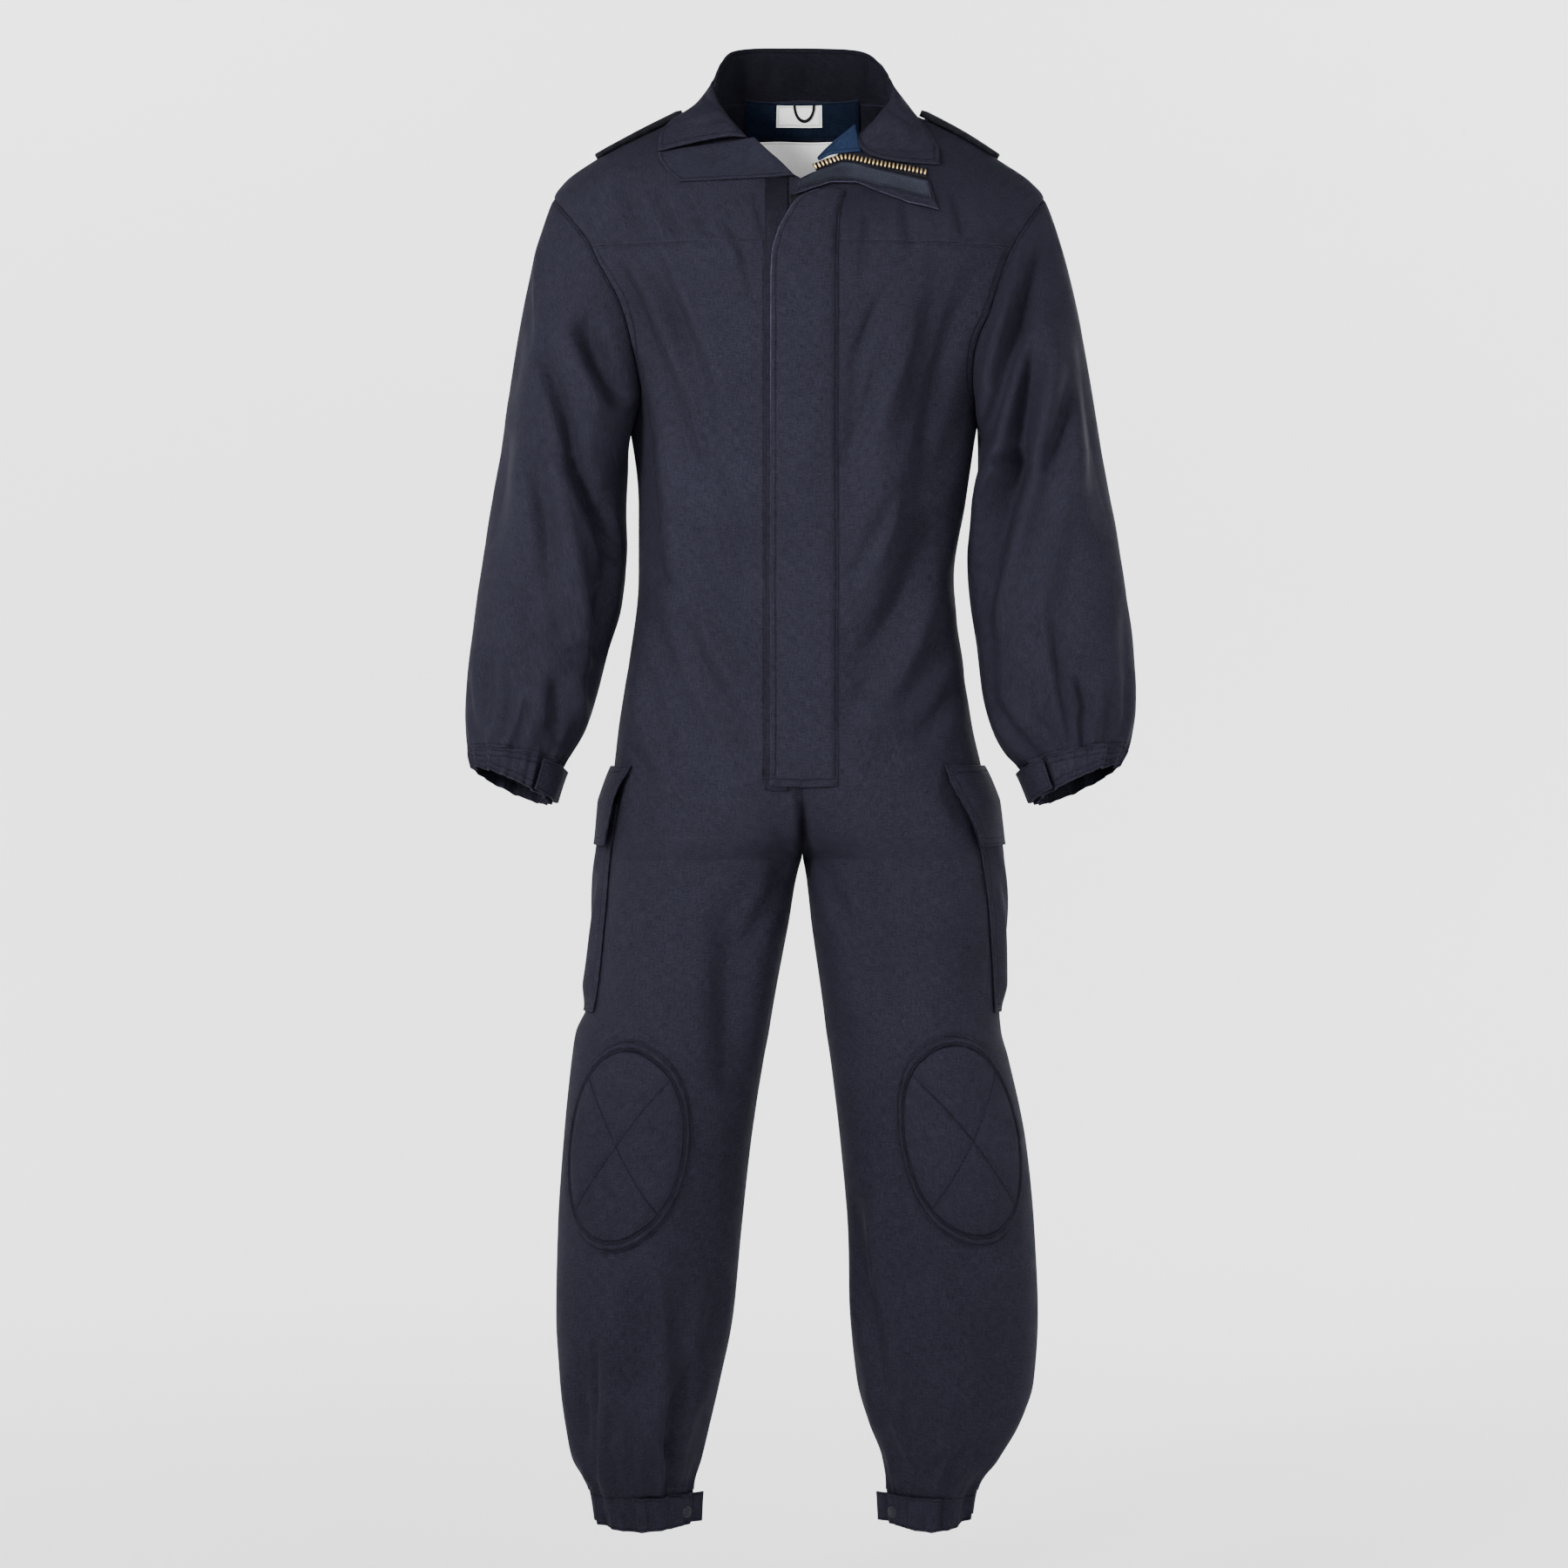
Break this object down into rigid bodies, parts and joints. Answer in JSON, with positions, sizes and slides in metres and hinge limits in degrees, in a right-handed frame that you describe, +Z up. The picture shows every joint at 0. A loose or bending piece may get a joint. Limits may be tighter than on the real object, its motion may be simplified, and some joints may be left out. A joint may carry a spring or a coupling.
{
  "type": "boiler suit",
  "caption": "Worn-form boiler suit: zipped front under a storm flap, open turned-out collar, quilted knee pads, thigh pockets, gathered cuffs and ankles.",
  "frame": {"origin": "in the neck opening between the shoulders, level with the side of the neck, where the wearer's shoulders carry the suit", "axes": "+Z up along the body, +X to the wearer's left, -Y to the front"},
  "size_m": [0.7027, 0.2776, 1.5741],
  "materials": {
    "navy_ripstop": "matt ripstop weave",
    "facing_blue": "matt plain weave",
    "black_webbing": "matt loop pile and tape",
    "white_label": "smooth woven label",
    "brass": "satin metal",
    "stud_metal": "dark satin metal"
  },
  "bodies": {
    "root": {"front_right": "navy_ripstop", "front_left": "navy_ripstop", "back_right": "navy_ripstop", "back_left": "navy_ripstop", "yoke": "navy_ripstop", "sleeve_right": "navy_ripstop", "sleeve_left": "navy_ripstop", "cuff_right": "navy_ripstop", "cuff_left": "navy_ripstop", "cuff_tab_right": "navy_ripstop", "cuff_tab_left": "navy_ripstop", "ankle_band_right": "navy_ripstop", "ankle_band_left": "navy_ripstop", "ankle_tab_right": "navy_ripstop", "ankle_tab_left": "navy_ripstop", "ankle_stud_right": "stud_metal", "ankle_stud_left": "stud_metal", "knee_pad_right": "navy_ripstop", "knee_pad_left": "navy_ripstop", "knee_border_right": "navy_ripstop", "knee_border_left": "navy_ripstop", "zip_tape_right": "black_webbing", "zip_tape_left": "black_webbing", "zip_head": "black_webbing", "zip_slider": "brass", "loop_strip": "black_webbing", "epaulette_right": "black_webbing", "epaulette_left": "black_webbing", "pocket_right": "navy_ripstop", "pocket_left": "navy_ripstop", "pocket_flap_right": "navy_ripstop", "pocket_flap_left": "navy_ripstop", "storm_flap": "navy_ripstop", "storm_flap_head": "navy_ripstop", "under_placket": "navy_ripstop", "lapel_right": "facing_blue", "lapel_left": "facing_blue", "collar": "navy_ripstop", "neck_facing": "facing_blue", "neck_label": "white_label", "care_label": "white_label", "hanging_loop": "black_webbing"}
  },
  "joints": []
}
